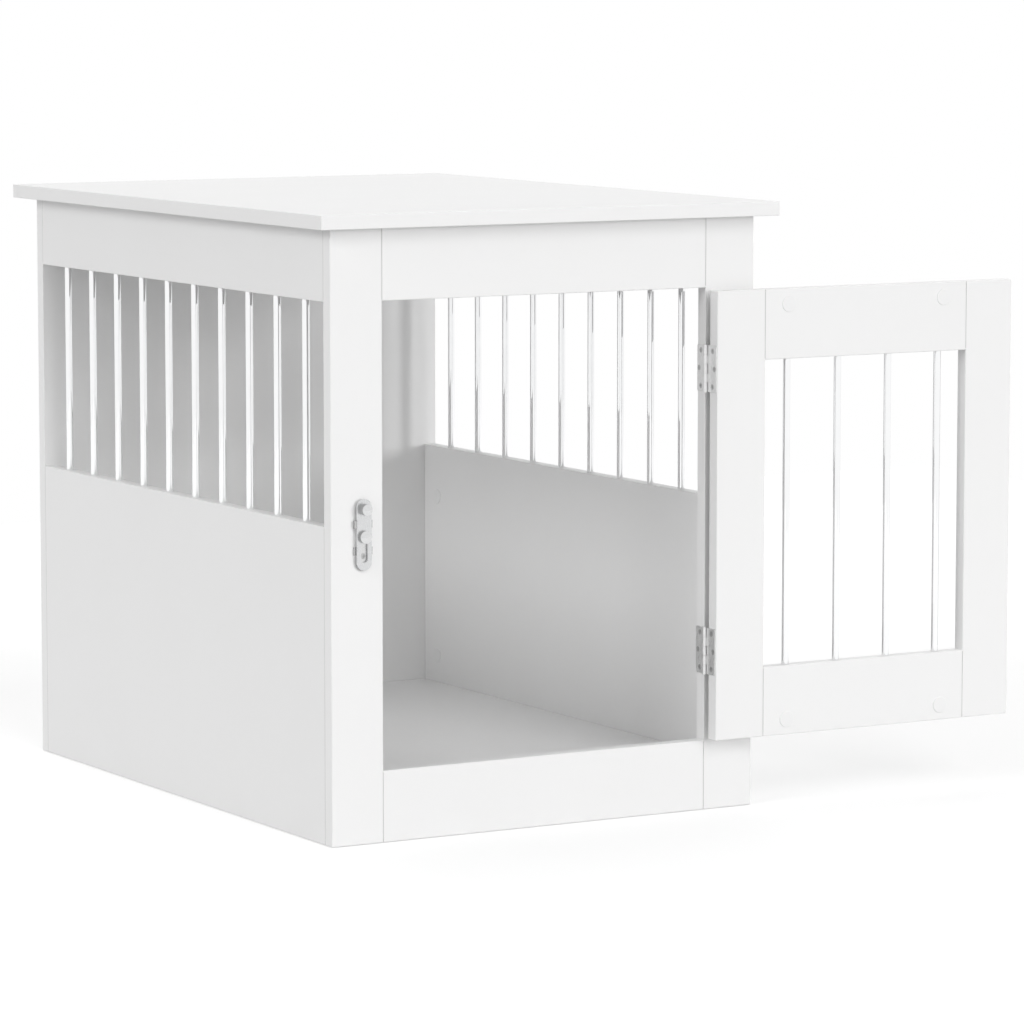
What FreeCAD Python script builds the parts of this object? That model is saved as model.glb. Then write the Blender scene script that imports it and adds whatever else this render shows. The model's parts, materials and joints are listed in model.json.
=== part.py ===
"""Pet crate end table: a boarded carcass with barred sides, a barred door on two hinges and a turn latch.

Millimetres, +Z up. The origin is the middle of the carcass's footprint on the floor, +X is to the right
as one faces the door, and +Y runs from the door to the back. The door is modelled shut and then swung
half a turn open about its hinge pins, which is how the crate stands at rest.
"""
import FreeCAD, Part
import os

V = FreeCAD.Vector
X_DIR = V(1, 0, 0)
Y_DIR = V(0, 1, 0)
Z_DIR = V(0, 0, 1)

# Carcass
body_width = 510.0          # across the front
body_depth = 710.0          # front face to back face
body_height = 635.0         # floor to the underside of the top
board = 15.0                # thickness of every board
edge_radius = 0.8           # rounding along the board edges
top_overhang = 20.0         # top beyond the carcass, on all four sides
stile_width = 60.0          # upright boards of the front frame
rail_height = 75.0          # level boards of the front frame and the upper rails of the sides
side_panel_height = 330.0   # solid lower part of each side
floor_clearance = 33.0      # under the floor board

# Door
door_side_gap = 5.0         # between the shut door and each jamb
door_end_gap = 2.5          # above and below the shut door
door_stile_width = 60.0
door_rail_height = 75.0
door_open_angle = 180.0

# Bars
bar_radius = 4.0
bar_socket_depth = 10.0
bar_fit = 0.1               # radial clearance in the socket
bar_end_play = 0.5          # room above the upper end
bar_chamfer = 0.5
side_bar_count = 10
side_bar_end = 52.0         # from each end of a side to its first bar
door_bar_count = 4

# Hinges
hinge_height = 50.0
hinge_leaf = 1.2            # thickness of a leaf
hinge_leaf_inset = 1.0      # free edge of a leaf to the inner face of the frame
hinge_leaf_corner = 2.0
hinge_axis_out = 4.5        # pin in front of the frame's front face
hinge_knuckles = 5
knuckle_gap = 0.3
pin_radius = 1.25
pin_play = 0.05             # radial running clearance
pin_head_height = 1.0
pin_head_lip = 0.8          # head beyond the pin
hinge_from_top = 83.0       # top edge of the door to the middle of the upper hinge
hinge_from_bottom = 95.0    # bottom edge of the door to the middle of the lower hinge

# Wood screws
screw_radius = 1.5
screw_head_radius = 3.0
screw_head_depth = 1.2
screw_fit = 0.05            # radial clearance in metal and wood
screw_tip = 3.0
screw_skin = 1.0            # a screw is shorter than a board's thickness by this
hinge_screw_end = 6.0       # end of the leaf to the nearest screw
hinge_screw_edge = 3.5      # free edge of the leaf to the middle screw
hinge_screw_stagger = 3.6   # outer screws nearer to the pin by this
screw_cross_span = 3.4      # driver cross in a screw's head
screw_cross_width = 0.8
screw_cross_depth = 0.8

# Turn latch
latch_from_jamb = 23.5      # pivot to the left jamb
latch_above_middle = 2.0    # pivot above the middle of the doorway
latch_up = 39.0             # pivot to the upper end of the lever
latch_down = 34.6           # pivot to the lower end of the lever
latch_width = 17.2
latch_lever = 2.5           # thickness of the lever
latch_edge = 0.5            # rounding of the lever's front edge
latch_base = 1.5            # thickness of the base plate
latch_base_inset = 0.5      # base plate inside the lever's outline, along its sides
latch_base_margin = 7.8     # fixing screw to the end of the base plate
latch_washer = 0.4          # thickness of the spring washer
latch_play = 0.1            # above and below the lever
latch_pivot_radius = 3.0
latch_pivot_spigot = 2.0    # radius of the rivet in the base plate
latch_pivot_head = 6.5      # radius of the rivet's head
latch_pivot_rim = 4.2       # straight side of the head
latch_dome = 0.9            # rise of the rivet's and the knob's rounded fronts
latch_knob_up = 28.2        # pivot to the knob
latch_knob_radius = 5.8
latch_knob_rim = 7.2        # straight side of the knob
latch_knob_stem = 2.0       # radius of the stem that is riveted into the lever
latch_screw_reach = 20.0    # pivot to each fixing screw
latch_slot_radius = 3.9     # half the width of the slot over the lower screw
latch_slot_below = 6.6      # lower screw to the rounded end of the slot
latch_slot_above = 15.2     # lower screw to the upper end of the slot
latch_stop_gap = 0.3        # lever to the stop ear, at both ends of its turn
latch_ear_width = 2.0       # an ear, across the base plate
latch_ear_height = 8.0      # length of an ear along the base plate
latch_ear_drop = 1.8        # lower ears further from the pivot than the upper ones
latch_ear_rise = 4.4        # stop ear above the stile

# Knock-down fittings
cam_radius = 7.4
cam_fit = 0.1               # radial clearance of a drum in its pocket
cam_skin = 3.0              # wood left under a pocket
cam_sunk = 0.5              # top of the drum below the board's face
cam_setback = 30.0          # end of a board to the middle of its drum
cam_inset = 16.5            # outer edge of a rail to its drum
cam_cross_span = 7.0        # driver cross in a drum
cam_cross_width = 1.4
cam_cross_depth = 1.5
bolt_radius = 3.0
bolt_neck_radius = 2.0
bolt_head_radius = 3.4
bolt_head_length = 4.0
bolt_play = 0.4             # round the bolt in the bored end and in the drum
bolt_skin = 4.0             # wood left beyond the bolt's thread
cap_radius = 8.8
cap_height = 1.0
cap_chamfer = 0.4
cap_peg_radius = 1.6
cap_peg_length = 2.0
dowel_radius = 4.0
dowel_fit = 0.1
dowel_skin = 5.0            # wood left beyond a dowel in a board's face
dowel_depth = 20.0          # length of a dowel in a board's end
dowel_chamfer = 0.8
dowel_inset = 20.0          # inner edge of a rail to its dowel
hole_spare = 0.5            # free depth past the tip of a fastener
panel_cam_bottom = 80.0     # floor to the lower drums of a side panel
panel_cam_top = 60.0        # upper edge of a side panel to its upper drums
side_rail_cam = 25.0        # lower edge of a side rail to its end drums
top_cam_end = 150.0         # end of a side rail to the drums that hold the top
floor_cam_end = 100.0       # end of the floor board to its first and last drums
cross_dowel_span = 200.0    # between the two dowels of the front, back, top and floor edges
drill_overrun = 1.0         # drills start this far outside the face

# Places worked out from the sizes above
left = -body_width / 2
right = body_width / 2
front = -body_depth / 2
back = body_depth / 2
front_inner = front + board
back_inner = back - board
left_inner = left + board
right_inner = right - board
left_middle = left + board / 2
right_middle = right - board / 2
front_middle = front + board / 2
jamb_left = left + stile_width
jamb_right = right - stile_width
sill = rail_height
lintel = body_height - rail_height
floor_top = floor_clearance + board
floor_middle = floor_clearance + board / 2
door_left = jamb_left + door_side_gap
door_right = jamb_right - door_side_gap
door_bottom = sill + door_end_gap
door_top = lintel - door_end_gap
window_left = door_left + door_stile_width
window_right = door_right - door_stile_width
window_bottom = door_bottom + door_rail_height
window_top = door_top - door_rail_height
pin_x = (jamb_right + door_right) / 2
pin_y = front - hinge_axis_out
barrel_radius = door_side_gap / 2
hinge_leaf_width = hinge_axis_out + board - hinge_leaf_inset
latch_x = jamb_left - latch_from_jamb
latch_z = (sill + lintel) / 2 + latch_above_middle
screw_length = board - screw_skin
cam_depth = board - cam_skin
bolt_thread = board - bolt_skin
dowel_face_depth = board - dowel_skin


def placed(shape, at, direction):
    """Carry a shape made at the origin along +Z to a point and a direction."""
    shape.Placement = FreeCAD.Placement(at, FreeCAD.Rotation(Z_DIR, direction))
    return shape


def turned(outline):
    """Turn an outline of (radius, height) points once round the Z axis."""
    points = [V(radius, 0, height) for radius, height in outline]
    face = Part.Face(Part.makePolygon(points + points[:1]))
    return face.revolve(V(0, 0, 0), Z_DIR, 360)


def block(x_span, y_span, z_span):
    """A plain box between two values on each axis, given in either order."""
    spans = [sorted(span) for span in (x_span, y_span, z_span)]
    size = [high - low for low, high in spans]
    return Part.makeBox(*size, V(*[low for low, high in spans]))


def make_board(x_span, y_span, z_span):
    """A board with all its edges softened."""
    solid = block(x_span, y_span, z_span)
    return solid.makeFillet(edge_radius, solid.Edges)


def pill(half_width, up, down, height):
    """A plate along local Y with half-round ends, from y = -down to y = up, standing on z = 0."""
    top = up - half_width
    bottom = half_width - down
    places = ((half_width, bottom), (half_width, top), (-half_width, top), (-half_width, bottom))
    corners = [V(x, y, 0) for x, y in places]
    edges = [
        Part.LineSegment(corners[0], corners[1]).toShape(),
        Part.Arc(corners[1], V(0, up, 0), corners[2]).toShape(),
        Part.LineSegment(corners[2], corners[3]).toShape(),
        Part.Arc(corners[3], V(0, -down, 0), corners[0]).toShape(),
    ]
    return Part.Face(Part.Wire(edges)).extrude(V(0, 0, height))


def make_boards():
    """Every board of the carcass and of the shut door, before it is drilled."""
    sides_long = (front_inner, back_inner)
    low = (0, side_panel_height)
    high = (lintel, body_height)
    full = (0, body_height)
    front_thick = (front, front_inner)
    door_tall = (door_bottom, door_top)
    window_wide = (window_left, window_right)
    across = (jamb_left, jamb_right)
    top_x = (left - top_overhang, right + top_overhang)
    top_y = (front - top_overhang, back + top_overhang)
    return {
        "table_top": make_board(top_x, top_y, (body_height, body_height + board)),
        "front_left_stile": make_board((left, jamb_left), front_thick, full),
        "front_right_stile": make_board((jamb_right, right), front_thick, full),
        "front_top_rail": make_board(across, front_thick, high),
        "front_bottom_rail": make_board(across, front_thick, (0, sill)),
        "left_lower_panel": make_board((left, left_inner), sides_long, low),
        "left_upper_rail": make_board((left, left_inner), sides_long, high),
        "right_lower_panel": make_board((right_inner, right), sides_long, low),
        "right_upper_rail": make_board((right_inner, right), sides_long, high),
        "back_panel": make_board((left, right), (back_inner, back), full),
        "floor_board": make_board((left_inner, right_inner), sides_long, (floor_clearance, floor_top)),
        "door_latch_stile": make_board((door_left, window_left), front_thick, door_tall),
        "door_hinge_stile": make_board((window_right, door_right), front_thick, door_tall),
        "door_top_rail": make_board(window_wide, front_thick, (window_top, door_top)),
        "door_bottom_rail": make_board(window_wide, front_thick, (door_bottom, window_bottom)),
    }


boards = make_boards()
drillings = {name: [] for name in boards}
pieces = {}     # every other piece, by its name, in the same shut position
groups = {}     # lists of identical fasteners, by the name that they share


def drill(name, radius, at, direction, depth):
    """Bore a board from a point on its face."""
    start = at - direction * drill_overrun
    drillings[name].append(Part.makeCylinder(radius, depth + drill_overrun, start, direction))


def add_to(group, solid):
    """Put one fastener with its like."""
    groups.setdefault(group, []).append(solid)


def driver_cross(span, width, depth):
    """The cross-shaped recess for a driver, sunk below z = 0."""
    long_way = (-span / 2, span / 2)
    short_way = (-width / 2, width / 2)
    deep = (-depth, depth)
    return block(long_way, short_way, deep).fuse(block(short_way, long_way, deep))


def wood_screw(at, outward):
    """A countersunk screw whose flat head faces outward from a point on the metal's surface."""
    solid = turned([
        (0, 0), (screw_head_radius, 0), (screw_radius, -screw_head_depth),
        (screw_radius, screw_tip - screw_length), (0, -screw_length),
    ])
    cross = driver_cross(screw_cross_span, screw_cross_width, screw_cross_depth)
    return placed(solid.cut(cross), at, outward)


def screw_hole(at, outward):
    """The countersunk hole for such a screw, cut from the metal and from the wood behind it."""
    bottom = -screw_length - hole_spare
    bore = screw_radius + screw_fit
    solid = turned([
        (0, 0), (screw_head_radius + screw_fit, 0), (bore, -screw_head_depth), (bore, bottom), (0, bottom),
    ])
    return placed(solid, at, outward)


def fix_with_screw(owner, metal, stile, at, outward):
    """Screw a metal piece to a stile, and return the metal with the screw's hole cut in it."""
    hole = screw_hole(at, outward)
    drillings[stile].append(hole)
    add_to(owner + "_screws", wood_screw(at, outward))
    return metal.cut(hole)


def cam_bolt(at, into):
    """A bolt whose thread lies behind the joint and whose neck and head reach into the drum."""
    head_start = cam_setback - bolt_head_length / 2
    neck_start = cam_setback - cam_radius
    solid = turned([
        (0, -bolt_thread), (bolt_radius, -bolt_thread), (bolt_radius, neck_start),
        (bolt_neck_radius, neck_start), (bolt_neck_radius, head_start), (bolt_head_radius, head_start),
        (bolt_head_radius, head_start + bolt_head_length), (0, head_start + bolt_head_length),
    ])
    return placed(solid, at, into)


def cam_lock(surface, into, face):
    """A drum in its pocket, with a chamber for the bolt's head, a mouth for its neck and a driver cross."""
    floor_of_pocket = surface - face * cam_depth
    drum = Part.makeCylinder(cam_radius, cam_depth - cam_sunk, floor_of_pocket, face)
    centre = surface - face * (board / 2)
    chamber_half = bolt_head_length / 2 + bolt_play
    chamber = Part.makeCylinder(
        bolt_head_radius + bolt_play, 2 * chamber_half, centre - into * chamber_half, into)
    mouth = Part.makeCylinder(
        bolt_neck_radius + bolt_play, cam_radius + drill_overrun, centre, -into)
    cross = driver_cross(cam_cross_span, cam_cross_width, cam_cross_depth)
    cross = placed(cross, surface - face * cam_sunk, face)
    peg_hole = Part.makeCylinder(cap_peg_radius + cam_fit, cap_peg_length, surface, -face)
    return drum.cut([chamber, mouth, cross, peg_hole])


def cam_cap(surface, face):
    """A cover cap on the board's face, with a peg in the drum."""
    solid = turned([
        (0, -cap_peg_length + cam_fit), (cap_peg_radius, -cap_peg_length + cam_fit), (cap_peg_radius, 0),
        (cap_radius, 0), (cap_radius, cap_height - cap_chamfer), (cap_radius - cap_chamfer, cap_height),
        (0, cap_height),
    ])
    return placed(solid, surface, face)


def cam_joint(owner, end_board, face_board, at, into, face, capped):
    """Hold a board's end to another board's face by a bolt and a drum.

    The bolt is screwed into face_board at a point of the joint and runs along into, in the middle of
    end_board, whose side towards face takes the drum.
    """
    surface = at + into * cam_setback + face * (board / 2)
    drill(face_board, bolt_radius + screw_fit, at, -into, bolt_thread + hole_spare)
    drill(end_board, bolt_radius + bolt_play, at, into, cam_setback)
    drill(end_board, cam_radius + cam_fit, surface, -face, cam_depth)
    add_to(owner + "_cam_bolts", cam_bolt(at, into))
    add_to(owner + "_cam_locks", cam_lock(surface, into, face))
    if capped:
        add_to(owner + "_cam_caps", cam_cap(surface, face))


def dowel_joint(owner, end_board, face_board, at, into):
    """Pin a board's end to another board's face by a wood dowel."""
    low = -dowel_face_depth
    high = dowel_depth
    nose = dowel_radius - dowel_chamfer
    solid = turned([
        (0, low), (nose, low), (dowel_radius, low + dowel_chamfer),
        (dowel_radius, high - dowel_chamfer), (nose, high), (0, high),
    ])
    drill(face_board, dowel_radius + dowel_fit, at, -into, dowel_face_depth)
    drill(end_board, dowel_radius + dowel_fit, at, into, dowel_depth + hole_spare)
    add_to(owner + "_dowels", placed(solid, at, into))


def join_frame(owner, left_board, right_board, x_span, rails, face):
    """Fix the rails of a frame between its two stiles, each end with a drum and a dowel.

    rails gives each rail's name, its outer edge and its inner edge.
    """
    for rail, outer, inner in rails:
        inward = 1 if inner > outer else -1
        for stile, x, into in ((left_board, x_span[0], X_DIR), (right_board, x_span[1], -X_DIR)):
            cam_at = V(x, front_middle, outer + inward * cam_inset)
            cam_joint(owner, rail, stile, cam_at, into, face, True)
            dowel_at = V(x, front_middle, inner - inward * dowel_inset)
            dowel_joint(owner, rail, stile, dowel_at, into)


def join_side(side, x, inward):
    """Fix one side's panel and rail to the front stile and the back panel, and the top and floor to them."""
    panel = side + "_lower_panel"
    rail = side + "_upper_rail"
    stile = "front_" + side + "_stile"
    for face_board, y, into in ((stile, front_inner, Y_DIR), ("back_panel", back_inner, -Y_DIR)):
        for z in (panel_cam_bottom, side_panel_height - panel_cam_top):
            cam_joint("body", panel, face_board, V(x, y, z), into, inward, True)
        dowel_joint("body", panel, face_board, V(x, y, side_panel_height / 2), into)
        cam_joint("body", rail, face_board, V(x, y, lintel + side_rail_cam), into, inward, True)
        dowel_joint("body", rail, face_board, V(x, y, body_height - dowel_inset), into)
    for y in (front_inner + top_cam_end, back_inner - top_cam_end):
        cam_joint("body", rail, "table_top", V(x, y, body_height), -Z_DIR, inward, True)
    dowel_joint("body", rail, "table_top", V(x, 0, body_height), -Z_DIR)
    floor_edge = x + inward.x * board / 2
    for y in (front_inner + floor_cam_end, 0, back_inner - floor_cam_end):
        cam_joint("body", "floor_board", panel, V(floor_edge, y, floor_middle), inward, -Z_DIR, False)
    for y in (-cross_dowel_span / 2, cross_dowel_span / 2):
        dowel_joint("body", "floor_board", panel, V(floor_edge, y, floor_middle), inward)


def join_cross_edges():
    """Dowels that line up the top with the front and back, and the floor with the front and back."""
    for x in (-cross_dowel_span / 2, cross_dowel_span / 2):
        dowel_joint("body", "front_top_rail", "table_top", V(x, front_middle, body_height), -Z_DIR)
        dowel_joint("body", "back_panel", "table_top", V(x, back - board / 2, body_height), -Z_DIR)
        dowel_joint("body", "floor_board", "front_bottom_rail", V(x, front_inner, floor_middle), Y_DIR)
        dowel_joint("body", "floor_board", "back_panel", V(x, back_inner, floor_middle), -Y_DIR)


def add_bar(name, lower_board, upper_board, x, y, low_edge, high_edge):
    """A round bar seated in a socket in each of the two edges that it stands between."""
    drill(lower_board, bar_radius + bar_fit, V(x, y, low_edge), -Z_DIR, bar_socket_depth)
    drill(upper_board, bar_radius + bar_fit, V(x, y, high_edge), Z_DIR, bar_socket_depth)
    length = high_edge - low_edge + 2 * bar_socket_depth - bar_end_play
    nose = bar_radius - bar_chamfer
    solid = turned([
        (0, 0), (nose, 0), (bar_radius, bar_chamfer), (bar_radius, length - bar_chamfer),
        (nose, length), (0, length),
    ])
    pieces[name] = placed(solid, V(x, y, low_edge - bar_socket_depth), Z_DIR)


def add_bars():
    """Ten bars in each side, and four across the door's window."""
    side_first = front_inner + side_bar_end
    side_pitch = (back_inner - front_inner - 2 * side_bar_end) / (side_bar_count - 1)
    for side, x in (("left", left_middle), ("right", right_middle)):
        for i in range(side_bar_count):
            name = "%s_bar_%02d" % (side, i + 1)
            y = side_first + i * side_pitch
            add_bar(name, side + "_lower_panel", side + "_upper_rail", x, y, side_panel_height, lintel)
    door_pitch = (window_right - window_left) / door_bar_count
    for i in range(door_bar_count):
        x = window_left + (i + 0.5) * door_pitch
        name = "door_bar_%d" % (i + 1)
        add_bar(name, "door_bottom_rail", "door_top_rail", x, front_middle, window_bottom, window_top)


def leaf_screw_places(middle):
    """The (y, z) of the three screws of a leaf, the outer two nearer to the pin."""
    far = pin_y + hinge_leaf_width - hinge_screw_edge
    near = far - hinge_screw_stagger
    reach = hinge_height / 2 - hinge_screw_end
    return ((near, middle - reach), (far, middle), (near, middle + reach))


def hinge_leaf_solid(middle, face, outward, first_knuckle):
    """A leaf flat on a vertical face, with every second knuckle from first_knuckle rolled round the pin."""
    low = middle - hinge_height / 2
    surface = face + outward.x * hinge_leaf
    plate_start = pin_y + barrel_radius + knuckle_gap
    plate_end = pin_y + hinge_leaf_width
    plate = block((face, surface), (plate_start, plate_end), (low, low + hinge_height))
    corner_edges = [
        edge for edge in plate.Edges
        if edge.BoundBox.XLength > hinge_leaf / 2 and edge.BoundBox.YMin > plate_end - hinge_leaf_corner
    ]
    leaf = plate.makeFillet(hinge_leaf_corner, corner_edges)
    pitch = hinge_height / hinge_knuckles
    for i in range(first_knuckle, hinge_knuckles, 2):
        start = low + i * pitch + (knuckle_gap / 2 if i > 0 else 0)
        end = low + (i + 1) * pitch - (knuckle_gap / 2 if i < hinge_knuckles - 1 else 0)
        roll = Part.makeCylinder(barrel_radius, end - start, V(pin_x, pin_y, start))
        neck = block((face, surface), (pin_y, plate_start), (start, end))
        leaf = leaf.fuse(roll).fuse(neck)
    bore = Part.makeCylinder(
        pin_radius + pin_play, hinge_height + 2 * drill_overrun, V(pin_x, pin_y, low - drill_overrun))
    return leaf.cut(bore).removeSplitter()


def add_leaf(name, owner, stile, middle, face, outward, first_knuckle):
    """A leaf, screwed to its stile."""
    leaf = hinge_leaf_solid(middle, face, outward, first_knuckle)
    surface = face + outward.x * hinge_leaf
    for y, z in leaf_screw_places(middle):
        leaf = fix_with_screw(owner, leaf, stile, V(surface, y, z), outward)
    pieces[name] = leaf


def hinge_pin(middle):
    """A pin with a flat head at each end."""
    half = hinge_height / 2
    end = half + pin_head_height
    lip = pin_radius + pin_head_lip
    soft = pin_head_height / 2
    solid = turned([
        (0, -end), (lip - soft, -end), (lip, -half - soft), (lip, -half), (pin_radius, -half),
        (pin_radius, half), (lip, half), (lip, half + soft), (lip - soft, end), (0, end),
    ])
    return placed(solid, V(pin_x, pin_y, middle), Z_DIR)


def add_hinges():
    """An upper and a lower hinge between the right jamb and the door."""
    for level, middle in (("upper", door_top - hinge_from_top), ("lower", door_bottom + hinge_from_bottom)):
        hinge = level + "_hinge_"
        add_leaf(hinge + "frame_leaf", "body", "front_right_stile", middle, jamb_right, -X_DIR, 0)
        add_leaf(hinge + "door_leaf", "door", "door_hinge_stile", middle, door_right, X_DIR, 1)
        pieces[hinge + "pin"] = hinge_pin(middle)


def on_stile(shape, height, up=0):
    """Stand a latch shape, made in the XY plane, off the left stile's front face and up from the pivot."""
    upright = FreeCAD.Rotation(X_DIR, 90)
    shape.Placement = FreeCAD.Placement(V(latch_x, front - height, latch_z + up), upright)
    return shape


def latch_base_plate():
    """The base plate with four ears, of which the upper left one is bent up as the lever's stop."""
    half = latch_width / 2
    reach = latch_screw_reach + latch_base_margin
    plate = pill(half - latch_base_inset, reach, reach, latch_base)
    near = half + latch_stop_gap
    wide = near + latch_ear_width
    tall = near + latch_ear_height
    flat = (0, latch_base)
    for y_span in ((near, tall), (-tall - latch_ear_drop, -near - latch_ear_drop)):
        plate = plate.fuse(block((-wide, wide), y_span, flat))
    plate = plate.fuse(block((-wide, -near), (near, tall), (0, latch_ear_rise)))
    plate = plate.cut(Part.makeCylinder(latch_pivot_spigot + screw_fit, latch_base))
    return on_stile(plate.removeSplitter(), 0)


def latch_lever_plate(height):
    """The lever, with its pivot bore, the knob's hole and the slot that shows the lower fixing screw."""
    plate = pill(latch_width / 2, latch_up, latch_down, latch_lever)
    front_edges = [edge for edge in plate.Edges if edge.BoundBox.ZMin > latch_lever / 2]
    plate = plate.makeFillet(latch_edge, front_edges)
    through = 2 * latch_lever
    bore = Part.makeCylinder(latch_pivot_radius + pin_play, through, V(0, 0, -latch_play))
    hole = Part.makeCylinder(latch_knob_stem + screw_fit, through, V(0, latch_knob_up, -latch_play))
    slot = pill(latch_slot_radius, latch_slot_above, latch_slot_below, through)
    slot.translate(V(0, -latch_screw_reach, -latch_play))
    return on_stile(plate.cut([bore, hole, slot]), height)


def domed(radius, height):
    """A rounded front on z = height: the cap of the sphere whose chord and rise these are."""
    ball_radius = (radius ** 2 + latch_dome ** 2) / (2 * latch_dome)
    ball = Part.makeSphere(ball_radius, V(0, 0, height + latch_dome - ball_radius))
    return ball.common(Part.makeCylinder(radius, latch_dome, V(0, 0, height)))


def latch_pivot_rivet(lever_height):
    """A shouldered rivet: its spigot in the base plate, its shank in the lever and a domed head in front."""
    head = lever_height + latch_lever + latch_play
    rim = head + latch_pivot_rim
    stem = turned([
        (0, 0), (latch_pivot_spigot, 0), (latch_pivot_spigot, latch_base),
        (latch_pivot_radius, latch_base), (latch_pivot_radius, head),
        (latch_pivot_head, head), (latch_pivot_head, rim), (0, rim),
    ])
    return on_stile(stem.fuse(domed(latch_pivot_head, rim)).removeSplitter(), 0)


def latch_finger_knob(lever_height):
    """The knob that turns the lever: a round stud whose stem fills the lever's hole."""
    rim = latch_lever + latch_knob_rim
    stud = turned([
        (0, 0), (latch_knob_stem, 0), (latch_knob_stem, latch_lever),
        (latch_knob_radius, latch_lever), (latch_knob_radius, rim), (0, rim),
    ])
    stud = stud.fuse(domed(latch_knob_radius, rim)).removeSplitter()
    return on_stile(stud, lever_height, latch_knob_up)


def add_latch():
    """The turn latch on the left stile, with its lever upright."""
    lever_height = latch_base + latch_washer + latch_play
    base = latch_base_plate()
    for up in (latch_screw_reach, -latch_screw_reach):
        at = V(latch_x, front - latch_base, latch_z + up)
        base = fix_with_screw("body", base, "front_left_stile", at, -Y_DIR)
    pieces["latch_base_plate"] = base
    pieces["latch_lever"] = latch_lever_plate(lever_height)
    pieces["latch_knob"] = latch_finger_knob(lever_height)
    pieces["latch_pivot"] = latch_pivot_rivet(lever_height)
    washer = Part.makeCylinder(latch_pivot_head, latch_washer)
    washer = washer.cut(Part.makeCylinder(latch_pivot_radius + pin_play, latch_washer))
    pieces["latch_washer"] = on_stile(washer, latch_base)


def swung_open(shape):
    """Swing a piece of the shut door open about the hinge pins."""
    shape.rotate(V(pin_x, pin_y, 0), Z_DIR, door_open_angle)
    return shape


body_rails = (("front_top_rail", body_height, lintel), ("front_bottom_rail", 0, sill))
door_rails = (("door_top_rail", door_top, window_top), ("door_bottom_rail", door_bottom, window_bottom))
join_frame("body", "front_left_stile", "front_right_stile", (jamb_left, jamb_right), body_rails, Y_DIR)
join_frame("door", "door_latch_stile", "door_hinge_stile", (window_left, window_right), door_rails, Y_DIR)
join_side("left", left_middle, X_DIR)
join_side("right", right_middle, -X_DIR)
join_cross_edges()
add_bars()
add_hinges()
add_latch()

for board_name, solid in boards.items():
    pieces[board_name] = solid.cut(drillings[board_name])
for group_name, solids in groups.items():
    pieces[group_name] = Part.makeCompound(solids)

os.makedirs("parts", exist_ok=True)
for piece_name, shape in pieces.items():
    swings = piece_name.startswith("door_") or piece_name.endswith("_door_leaf")
    shape = swung_open(shape) if swings else shape
    shape.exportStep("parts/" + piece_name + ".step")
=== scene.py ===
"""Looks of the pet crate end table: finishes for boards and fittings, turned chrome bars, camera and light.

Metres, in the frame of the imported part: +Z up, +X to the right as one faces the door, +Y to the back.
"""
import bpy
import json
import math
import numpy as np
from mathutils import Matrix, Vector


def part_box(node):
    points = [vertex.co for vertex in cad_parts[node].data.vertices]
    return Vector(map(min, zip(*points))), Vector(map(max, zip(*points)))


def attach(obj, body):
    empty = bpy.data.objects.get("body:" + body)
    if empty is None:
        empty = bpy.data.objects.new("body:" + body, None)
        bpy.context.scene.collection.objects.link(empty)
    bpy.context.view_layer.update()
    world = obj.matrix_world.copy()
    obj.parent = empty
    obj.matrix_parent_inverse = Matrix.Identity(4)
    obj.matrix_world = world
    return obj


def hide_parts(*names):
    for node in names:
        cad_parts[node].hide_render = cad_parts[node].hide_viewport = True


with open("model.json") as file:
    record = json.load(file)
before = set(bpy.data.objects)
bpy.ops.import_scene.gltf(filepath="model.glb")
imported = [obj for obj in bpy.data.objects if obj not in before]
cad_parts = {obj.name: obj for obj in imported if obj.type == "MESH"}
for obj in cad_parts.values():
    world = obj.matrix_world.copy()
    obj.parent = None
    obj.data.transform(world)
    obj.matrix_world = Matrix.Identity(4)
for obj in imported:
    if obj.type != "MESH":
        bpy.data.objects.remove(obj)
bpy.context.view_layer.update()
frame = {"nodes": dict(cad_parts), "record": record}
nodes = frame["nodes"]
slot_of = {row["node"]: row["material_slot"] for row in frame["record"]["subparts"]}


def grey(level, warmth=0.0):
    """A near-neutral colour, warmed or cooled a little."""
    return (level * (1 + warmth), level, level * (1 - warmth), 1)


# Camera, solved from the crate's own straight edges in the photograph
camera_place = (-2.5731, -4.7299, 0.9207)
camera_yaw = 30.053         # degrees from +Y towards +X
camera_pitch = 6.615        # degrees below level
camera_lens = 172.03        # millimetres on a 36 mm sensor
camera_reach = 100.0        # furthest that it sees

# Light: bearings are degrees from the front towards the left, heights are degrees above level
room_level = 0.37           # radiance of the room as matt surfaces see it
flag_level = 0.3            # radiance of the grey flag that polished metal mirrors
flag_bearing = 178.0
flag_half_width = 0.22      # radians
flag_fade = (1.3, 0.8)      # half widths between which the flag fades in
lamps = {                   # bearing, height, width of the lit patch of sky in degrees, strength
    "front_softbox": (0.0, 32.0, 34.0, 0.92),
    "front_right_softbox": (-32.0, 7.0, 14.0, 1.1),
    "left_softbox": (79.0, 24.0, 26.0, 0.97),
    "left_back_softbox": (118.0, 32.0, 50.0, 0.4),
    "right_back_softbox": (-160.0, 60.0, 50.0, 0.76),
}
floor_half = 2.4
floor_drop = 0.0005         # floor below the boards' lower edges
floor_tone = 0.62
floor_rough = 0.9
floor_glow = 0.46           # added where the floor is looked at, which makes it white

# Patterns: grains per metre, and finer layers within them
board_clouds = (9.0, 3.0)
board_pearl = (430.0, 4.0)
bar_haze = (60.0, 3.0)
bar_lines = (1400.0, 2.0)
plating_clouds = (120.0, 4.0)
plating_lines = (2200.0, 3.0)
stud_clouds = (300.0, 3.0)
beech_flecks = (500.0, 5.0)
cap_sparks = (1600.0, 3.0)
pattern_range = (0.3, 0.7)  # where most of any pattern lies

# Stretches of a pattern, for x, y and z: a small share draws it out along that axis
drawn_upright = (1, 1, 0.01)
brushed_upright = (1, 1, 0.05)
brushed_finely = (1, 1, 0.04)
unbrushed = (1, 1, 1)
grown_lengthwise = (1, 0.15, 1)

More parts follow.
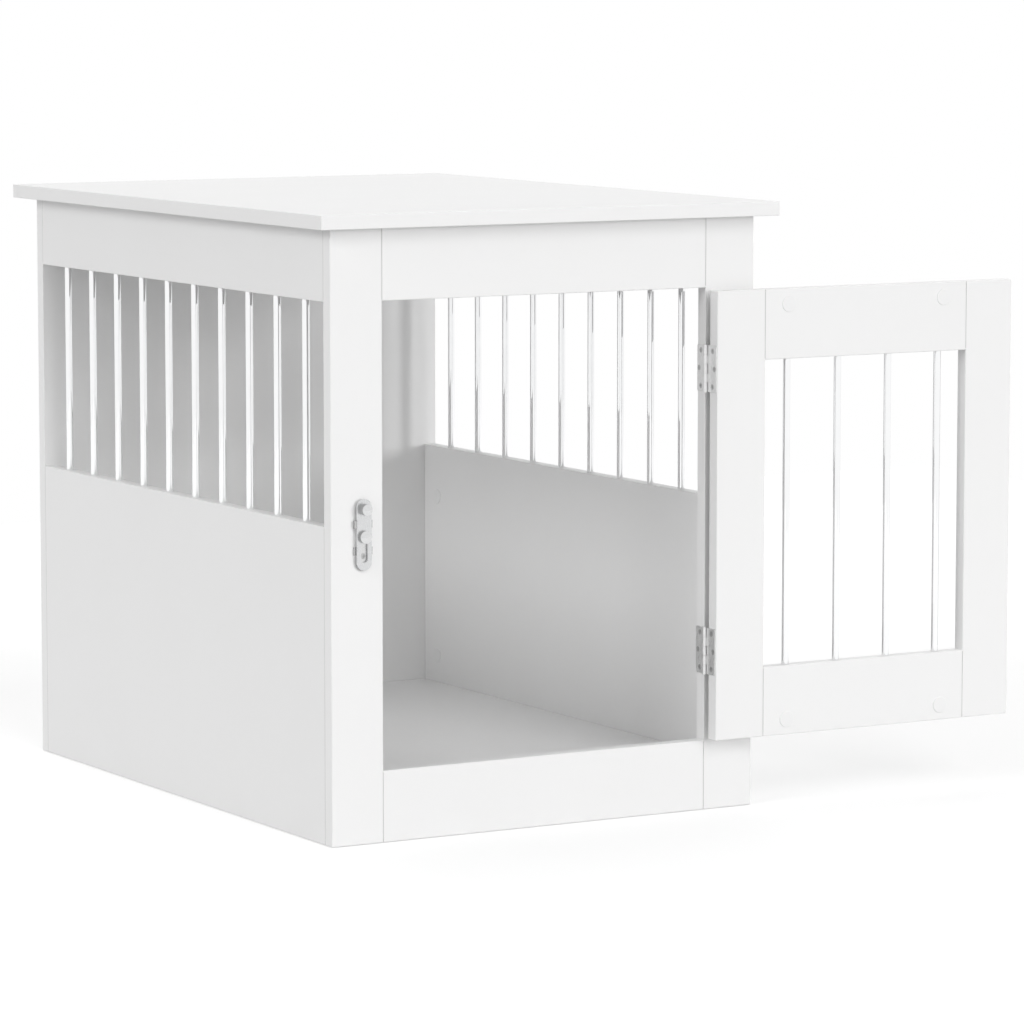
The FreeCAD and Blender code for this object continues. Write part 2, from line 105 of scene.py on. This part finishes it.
# Boards: roughness as least and most, relief as strength and height
board_tone = 0.85
board_dark = grey(board_tone * 0.985, 0.002)
board_light = grey(board_tone * 1.01)
board_rough = (0.4, 0.52)
board_relief = (0.12, 0.0004)
board_shine = 0.4
arris_width = 0.0012        # strip along the edges that is darkened a little, in patches
arris_darkening = 0.35
arris_shade = grey(board_tone * 0.9, 0.01)
band_line = 0.0009          # glue line of the edge band, from the board's edge
band_line_half = 0.00012
band_depth = 0.5            # how far that line darkens the board
band_groove = 0.6           # how far it sinks, in heights of the pearled texture
band_shade = grey(board_tone * 0.7, 0.015)
face_skin = 0.0004          # a point this near to a wide face lies on it
joint_half = 0.0005         # half the width of the painted shade line where two boards meet
joint_depth = 0.55          # how far that line darkens the boards
# colour of the painted shade in the seams where two boards meet
joint_painted_shade = grey(board_tone * 0.3, 0.02)
joint_slack = 0.0002        # boards this near to each other touch
joint_least = 0.005         # narrowest patch of contact that counts
joint_inset = 0.002         # how far the patch is drawn in at an inside corner

# Plated steel and zinc, by slot
plated = {                  # darkest and lightest tone, least and most roughness, stretch of the brush lines
    "hinge_steel": (grey(0.74), grey(0.84), 0.24, 0.38, brushed_upright),
    "screw_steel": (grey(0.5), grey(0.62), 0.32, 0.46, unbrushed),
    "latch_steel": (grey(0.66, -0.01), grey(0.74, -0.008), 0.18, 0.32, brushed_finely),
    "zinc_fitting": (grey(0.38), grey(0.5), 0.39, 0.53, unbrushed),
}
plated_relief = (0.12, 0.0001)

# Latch
stud_face = 0.0008          # depth of a stud's polished face and its rounded rim
stud_dark = grey(0.69, -0.006)
stud_light = grey(0.75, -0.004)
# painted shade on the sides of a stud
stud_side_painted_shade = grey(0.46)
stud_rough = (0.14, 0.4)    # on its face, and on its side
base_dark = grey(0.66)
base_light = grey(0.74)
base_rough = (0.2, 0.3)
# painted shade on the ears that stand out beside the lever
ear_painted_shade = grey(0.55)
ear_fade = 0.0006           # width over which painted shade darkens the base plate towards its ears

# Bars
bar_sides = 48
bar_end_steps = 5
bar_end_share = 0.25        # radius of a bar's rounded rim, as a share of the bar's own
bar_dark = grey(0.93, -0.006)
bar_light = grey(0.97, -0.004)
bar_rough = (0.012, 0.035)
bar_relief = (0.05, 0.00005)

# Dowels and caps
beech_dark = (0.5, 0.31, 0.16, 1)
beech_light = (0.68, 0.47, 0.28, 1)
beech_rough = (0.55, 0.7)
beech_relief = (0.3, 0.0002)
cap_dark = grey(board_tone * 0.97)
cap_light = grey(board_tone)
cap_rough = (0.34, 0.44)
cap_relief = (0.15, 0.0001)


def put(tree, kind, sockets, **settings):
    """Add a node, set its options, and fill its inputs with values or with links."""
    made = tree.nodes.new(kind)
    for name, value in settings.items():
        setattr(made, name, value)
    for key, value in sockets.items():
        if isinstance(value, bpy.types.NodeSocket):
            tree.links.new(value, made.inputs[key])
        else:
            made.inputs[key].default_value = value
    return made


def calc(tree, operation, *terms):
    """One step of arithmetic on numbers or sockets."""
    return put(tree, "ShaderNodeMath", dict(enumerate(terms)), operation=operation).outputs[0]


def ramp(tree, value, low, high, start, end):
    """Carry a value from low..high to start..end, smoothly and without running past the ends."""
    sockets = {"Value": value, "From Min": low, "From Max": high, "To Min": start, "To Max": end}
    return put(tree, "ShaderNodeMapRange", sockets, interpolation_type="SMOOTHSTEP").outputs[0]


def between(tree, pattern, start, end):
    """Carry a cloudy pattern to the range from start to end."""
    return ramp(tree, pattern, *pattern_range, start, end)


def grain(tree, place, scale, detail, stretch=unbrushed):
    """A cloudy pattern on the part's own coordinates, with features about 1/scale metres across."""
    scaled = put(tree, "ShaderNodeMapping", {"Vector": place, "Scale": stretch}).outputs[0]
    return put(tree, "ShaderNodeTexNoise", {"Vector": scaled, "Scale": scale, "Detail": detail}).outputs[0]


def blend(tree, factor, first, second):
    """Mix two colours by a factor."""
    made = put(tree, "ShaderNodeMix", {0: factor, 6: first, 7: second}, data_type="RGBA")
    return made.outputs[2]


def start_finish(name):
    """A new material, with its node tree, its shader and the part's own coordinates."""
    finish = bpy.data.materials.new(name)
    finish.use_nodes = True
    tree = finish.node_tree
    shader = tree.nodes["Principled BSDF"]
    place = put(tree, "ShaderNodeTexCoord", {}).outputs["Object"]
    return finish, tree, shader, place


def join(tree, shader, name, value):
    """Link a pattern to one of the shader's sockets."""
    tree.links.new(value, shader.inputs[name])


def relief(tree, shader, height, strength, depth):
    """Raise or sink the surface by a pattern."""
    bump = put(tree, "ShaderNodeBump", {"Height": height, "Strength": strength, "Distance": depth})
    join(tree, shader, "Normal", bump.outputs[0])


def edge_distances(tree, place, low, high):
    """How far a point of a board lies from the nearest edge, and from the nearest wide face.

    With d the gaps to the three pairs of faces, the smallest is 0 on the surface, and the middle one is the
    distance along the face to its nearest edge.
    """
    centre = [(a + b) / 2 for a, b in zip(low, high)]
    half = [(b - a) / 2 for a, b in zip(low, high)]
    local = put(tree, "ShaderNodeMapping", {"Vector": place, "Location": [-c for c in centre]}).outputs[0]
    size = put(tree, "ShaderNodeVectorMath", {0: local}, operation="ABSOLUTE").outputs[0]
    axes = put(tree, "ShaderNodeSeparateXYZ", {0: size}).outputs
    gaps = [calc(tree, "SUBTRACT", half[i], axes[i]) for i in range(3)]
    less = calc(tree, "MINIMUM", gaps[0], gaps[1])
    more = calc(tree, "MAXIMUM", gaps[0], gaps[1])
    middle = calc(tree, "MAXIMUM", less, calc(tree, "MINIMUM", more, gaps[2]))
    return middle, gaps[half.index(min(half))]


def contact_patches(name):
    """The flat patches where a board touches other boards, each as its middle and half size.

    A patch reaches the surface where both boards end flush, and is drawn in where one of them runs on, so that
    seams get a line of painted shade and inside corners get none.
    """
    low, high = (np.array(corner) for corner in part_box(name))
    patches = []
    for other in [n for n in nodes if slot_of[n] == "white_board" and n != name]:
        other_low, other_high = (np.array(corner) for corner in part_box(other))
        start = np.maximum(low, other_low)
        end = np.minimum(high, other_high)
        size = end - start
        if np.min(size) < -joint_slack or np.sort(size)[1] < joint_least:
            continue
        in_plane = size > joint_slack
        start = start + joint_inset * (in_plane & (np.abs(low - other_low) > joint_slack))
        end = end - joint_inset * (in_plane & (np.abs(high - other_high) > joint_slack))
        patches.append(((start + end) / 2, np.maximum(end - start, 0) / 2))
    return patches


def joint_line(tree, place, name):
    """A mask for the painted shade in the seams: 1 where a board meets its neighbours, fading to 0 beside the
    joint.

    The distance from a patch is the largest of the three gaps between the point and the patch's sides.
    """
    nearest = 1.0
    for middle, half in contact_patches(name):
        away = put(tree, "ShaderNodeVectorMath", {0: place, 1: middle}, operation="SUBTRACT").outputs[0]
        away = put(tree, "ShaderNodeVectorMath", {0: away}, operation="ABSOLUTE").outputs[0]
        away = put(tree, "ShaderNodeVectorMath", {0: away, 1: half}, operation="SUBTRACT").outputs[0]
        gaps = put(tree, "ShaderNodeSeparateXYZ", {0: away}).outputs
        gap = calc(tree, "MAXIMUM", calc(tree, "MAXIMUM", gaps[0], gaps[1]), gaps[2])
        nearest = calc(tree, "MINIMUM", nearest, gap)
    return ramp(tree, nearest, 0.0, joint_half, 1.0, 0.0)


def melamine_finish(name):
    """White melamine on a board: a faint pearled texture, the edge band's hairline, and painted shade lines
    where boards meet.
    """
    finish, tree, shader, place = start_finish("white_melamine_" + name)
    to_edge, to_face = edge_distances(tree, place, *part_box(name))
    off_line = calc(tree, "ABSOLUTE", calc(tree, "SUBTRACT", to_edge, band_line))
    line = ramp(tree, off_line, 0.0, band_line_half, 1.0, 0.0)
    line = calc(tree, "MULTIPLY", line, ramp(tree, to_face, face_skin / 2, face_skin, 1.0, 0.0))
    cloud = grain(tree, place, *board_clouds)
    tone = blend(tree, cloud, board_dark, board_light)
    arris = ramp(tree, to_edge, 0.0, arris_width, arris_darkening, 0.0)
    tone = blend(tree, calc(tree, "MULTIPLY", arris, cloud), tone, arris_shade)
    tone = blend(tree, calc(tree, "MULTIPLY", line, band_depth), tone, band_shade)
    # painted shade along the seams where this board meets others
    joint = calc(tree, "MULTIPLY", joint_line(tree, place, name), joint_depth)
    tone = blend(tree, joint, tone, joint_painted_shade)
    join(tree, shader, "Base Color", tone)
    pearl = grain(tree, place, *board_pearl)
    join(tree, shader, "Roughness", between(tree, pearl, *board_rough))
    height = calc(tree, "SUBTRACT", pearl, calc(tree, "MULTIPLY", line, band_groove))
    relief(tree, shader, height, *board_relief)
    shader.inputs["Specular IOR Level"].default_value = board_shine
    return finish


def chrome_finish():
    """Polished chrome plate, with the faint lengthwise lines of a drawn bar under it."""
    finish, tree, shader, place = start_finish("chrome_bar")
    lines = grain(tree, place, *bar_lines, drawn_upright)
    haze = grain(tree, place, *bar_haze)
    join(tree, shader, "Base Color", blend(tree, haze, bar_dark, bar_light))
    join(tree, shader, "Roughness", between(tree, lines, *bar_rough))
    relief(tree, shader, lines, *bar_relief)
    shader.inputs["Metallic"].default_value = 1.0
    return finish


def plated_finish(slot, dark, light, least_rough, most_rough, brush):
    """Plated metal: cloudy plating, with brush lines along the axis that the brush draws out."""
    finish, tree, shader, place = start_finish(slot)
    cloud = grain(tree, place, *plating_clouds)
    lines = grain(tree, place, *plating_lines, brush)
    join(tree, shader, "Base Color", blend(tree, cloud, dark, light))
    join(tree, shader, "Roughness", between(tree, lines, least_rough, most_rough))
    relief(tree, shader, lines, *plated_relief)
    shader.inputs["Metallic"].default_value = 1.0
    return finish


def stud_finish(name):
    """A turned stud that points to the front: its face is polished, its sides are rougher, and painted shade
    makes its sides darker.
    """
    finish, tree, shader, place = start_finish("stud_" + name)
    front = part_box(name)[0].y
    depth = put(tree, "ShaderNodeSeparateXYZ", {0: place}).outputs[1]
    side = ramp(tree, depth, front + stud_face, front + stud_face * 2, 0.0, 1.0)
    cloud = grain(tree, place, *stud_clouds)
    polished = blend(tree, cloud, stud_dark, stud_light)
    # the sides take the painted shade colour
    join(tree, shader, "Base Color", blend(tree, side, polished, stud_side_painted_shade))
    join(tree, shader, "Roughness", ramp(tree, side, 0.0, 1.0, *stud_rough))
    shader.inputs["Metallic"].default_value = 1.0
    return finish


def base_plate_finish():
    """The latch's base plate: bright under the lever, with painted shade darkening the ears that stand out
    beside it.
    """
    finish, tree, shader, place = start_finish("latch_base_steel")
    low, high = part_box("latch_lever")
    across = put(tree, "ShaderNodeSeparateXYZ", {0: place}).outputs[0]
    off_middle = calc(tree, "ABSOLUTE", calc(tree, "SUBTRACT", across, (low.x + high.x) / 2))
    half = (high.x - low.x) / 2
    ear = ramp(tree, off_middle, half - ear_fade, half, 0.0, 1.0)
    cloud = grain(tree, place, *plating_clouds)
    bright = blend(tree, cloud, base_dark, base_light)
    # the ears take the painted shade colour
    join(tree, shader, "Base Color", blend(tree, ear, bright, ear_painted_shade))
    join(tree, shader, "Roughness", between(tree, cloud, *base_rough))
    shader.inputs["Metallic"].default_value = 1.0
    return finish


def beech_finish():
    """Plain turned beech: pale wood with short darker flecks along the dowel."""
    finish, tree, shader, place = start_finish("dowel_beech")
    fleck = grain(tree, place, *beech_flecks, grown_lengthwise)
    join(tree, shader, "Base Color", blend(tree, fleck, beech_dark, beech_light))
    join(tree, shader, "Roughness", between(tree, fleck, *beech_rough))
    relief(tree, shader, fleck, *beech_relief)
    return finish


def cap_finish():
    """Moulded white plastic, a little glossier than the boards."""
    finish, tree, shader, place = start_finish("cap_plastic")
    spark = grain(tree, place, *cap_sparks)
    join(tree, shader, "Base Color", blend(tree, spark, cap_dark, cap_light))
    join(tree, shader, "Roughness", between(tree, spark, *cap_rough))
    relief(tree, shader, spark, *cap_relief)
    return finish


def dress_nodes():
    """Give every carried-over node its finish, and return the bars' one."""
    by_slot = {slot: plated_finish(slot, *values) for slot, values in plated.items()}
    by_slot["dowel_beech"] = beech_finish()
    by_slot["cap_plastic"] = cap_finish()
    by_slot["chrome_bar"] = chrome_finish()
    by_node = {
        "latch_base_plate": base_plate_finish(),
        "latch_pivot": stud_finish("latch_pivot"),
        "latch_knob": stud_finish("latch_knob"),
    }
    for name, piece in nodes.items():
        if slot_of[name] == "white_board":
            finish = melamine_finish(name)
        else:
            finish = by_node.get(name, by_slot[slot_of[name]])
        piece.material_slots[0].material = finish
    return by_slot["chrome_bar"]


def turned_mesh(name, outline, x, y, sides):
    """A closed surface of revolution about a vertical axis.

    Ring i has radius r and height z from the outline, and its point j is (x + r cos t, y + r sin t, z), with t
    stepping evenly round a full turn. The outline starts and ends on the axis, and those points are poles.
    """
    outline = np.array(outline)
    radius = outline[1:-1, 0]
    height = outline[1:-1, 1]
    turn = np.arange(sides) * (2 * math.pi / sides)
    rings = np.stack([
        x + np.outer(radius, np.cos(turn)),
        y + np.outer(radius, np.sin(turn)),
        np.repeat(height[:, None], sides, axis=1),
    ], axis=-1).reshape(-1, 3)
    poles = np.array([(x, y, outline[0, 1]), (x, y, outline[-1, 1])])
    here = np.arange(sides)
    after = (here + 1) % sides
    base = np.arange(len(radius) - 1)[:, None] * sides
    quads = np.stack([base + here, base + after, base + sides + after, base + sides + here], axis=-1)
    count = len(rings)
    last = count - sides
    bottom = np.stack([np.full(sides, count), after, here], axis=-1)
    top = np.stack([np.full(sides, count + 1), last + here, last + after], axis=-1)
    faces = quads.reshape(-1, 4).tolist() + bottom.tolist() + top.tolist()
    mesh = bpy.data.meshes.new(name)
    mesh.from_pydata(np.vstack([rings, poles]).tolist(), [], faces)
    mesh.shade_smooth()
    return mesh


def rounded_bar(radius, low, high):
    """Outline of a bar whose two ends are rounded off by quarter circles, as radius and height."""
    soft = radius * bar_end_share
    bend = np.linspace(0, math.pi / 2, bar_end_steps)
    inner = radius - soft
    lower = [(inner + soft * math.sin(a), low + soft - soft * math.cos(a)) for a in bend]
    upper = [(inner + soft * math.cos(a), high - soft + soft * math.sin(a)) for a in bend]
    return [(0, low)] + lower + upper + [(0, high)]


def make_bars(finish):
    """A turned chrome bar in place of every plain one."""
    for name in [n for n in nodes if slot_of[n] == "chrome_bar"]:
        low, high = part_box(name)
        radius = (high.x - low.x) / 2
        outline = rounded_bar(radius, low.z, high.z)
        mesh = turned_mesh("turned_" + name, outline, (low.x + high.x) / 2, (low.y + high.y) / 2, bar_sides)
        mesh.materials.append(finish)
        bar = bpy.data.objects.new("turned_" + name, mesh)
        bpy.context.scene.collection.objects.link(bar)
        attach(bar, "door" if name.startswith("door") else "carcass")
        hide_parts(name)


def studio_floor():
    """A plain white floor that shows white where it is looked at, and still takes the crate's shadow."""
    finish = bpy.data.materials.new("studio_floor")
    finish.use_nodes = True
    tree = finish.node_tree
    shader = tree.nodes["Principled BSDF"]
    shader.inputs["Base Color"].default_value = grey(floor_tone)
    shader.inputs["Roughness"].default_value = floor_rough
    shader.inputs["Specular IOR Level"].default_value = 0.0
    shader.inputs["Emission Color"].default_value = grey(1.0)
    path = put(tree, "ShaderNodeLightPath", {}).outputs
    seen = calc(tree, "MAXIMUM", path["Is Camera Ray"], path["Is Glossy Ray"])
    seen = calc(tree, "MAXIMUM", seen, path["Is Transmission Ray"])
    join(tree, shader, "Emission Strength", calc(tree, "MULTIPLY", seen, floor_glow))
    signs = ((-1, -1), (1, -1), (1, 1), (-1, 1))
    mesh = bpy.data.meshes.new("studio_floor")
    mesh.from_pydata([(floor_half * a, floor_half * b, -floor_drop) for a, b in signs], [], [(0, 1, 2, 3)])
    mesh.materials.append(finish)
    floor = bpy.data.objects.new("studio_floor", mesh)
    bpy.context.scene.collection.objects.link(floor)


def bearing_vector(bearing, height):
    """The way towards a point of the sky, from its bearing off the front and its height above level."""
    turn, rise = math.radians(bearing), math.radians(height)
    return Vector((-math.sin(turn) * math.cos(rise), -math.cos(turn) * math.cos(rise), math.sin(rise)))


def studio_room():
    """A pale room: white where it is looked at, dim on matt surfaces, with a grey flag for polished metal."""
    world = bpy.data.worlds.new("studio_room")
    bpy.context.scene.world = world
    world.use_nodes = True
    tree = world.node_tree
    way = put(tree, "ShaderNodeTexCoord", {}).outputs["Generated"]
    flag_way = bearing_vector(flag_bearing, 0.0)
    along = put(tree, "ShaderNodeVectorMath", {0: way, 1: flag_way}, operation="DOT_PRODUCT").outputs["Value"]
    soft_edge = [math.cos(flag_half_width * share) for share in flag_fade]
    mirrored = ramp(tree, along, *soft_edge, 1.0, flag_level)
    path = put(tree, "ShaderNodeLightPath", {}).outputs
    for_metal = calc(tree, "MULTIPLY", path["Is Glossy Ray"], mirrored)
    for_matt = calc(tree, "MULTIPLY", calc(tree, "SUBTRACT", 1.0, path["Is Glossy Ray"]), room_level)
    straight = calc(tree, "MAXIMUM", path["Is Camera Ray"], path["Is Transmission Ray"])
    level = calc(tree, "MAXIMUM", straight, calc(tree, "ADD", for_metal, for_matt))
    backdrop = tree.nodes["Background"]
    backdrop.inputs["Color"].default_value = grey(1.0)
    tree.links.new(level, backdrop.inputs["Strength"])


def softbox(name, bearing, height, spread, strength):
    """A far lamp that fills a round patch of the sky as wide as its spread, so its shadows are soft.

    Metal doesn't mirror it, and shows only the room.
    """
    lamp = bpy.data.lights.new(name, "SUN")
    lamp.angle = math.radians(spread)
    lamp.energy = strength
    light = bpy.data.objects.new(name, lamp)
    bpy.context.scene.collection.objects.link(light)
    light.rotation_euler = bearing_vector(bearing, height).to_track_quat("Z", "Y").to_euler()
    light.visible_glossy = False


def photo_camera():
    """The camera that took the photograph."""
    lens = bpy.data.cameras.new("photo_camera")
    lens.lens = camera_lens
    lens.clip_end = camera_reach
    camera = bpy.data.objects.new("photo_camera", lens)
    bpy.context.scene.collection.objects.link(camera)
    camera.location = camera_place
    camera.rotation_euler = (math.radians(90 - camera_pitch), 0, math.radians(-camera_yaw))
    bpy.context.scene.camera = camera


bpy.context.scene.view_settings.view_transform = "Standard"
make_bars(dress_nodes())
studio_floor()
studio_room()
for lamp_name, lamp_values in lamps.items():
    softbox(lamp_name, *lamp_values)
photo_camera()
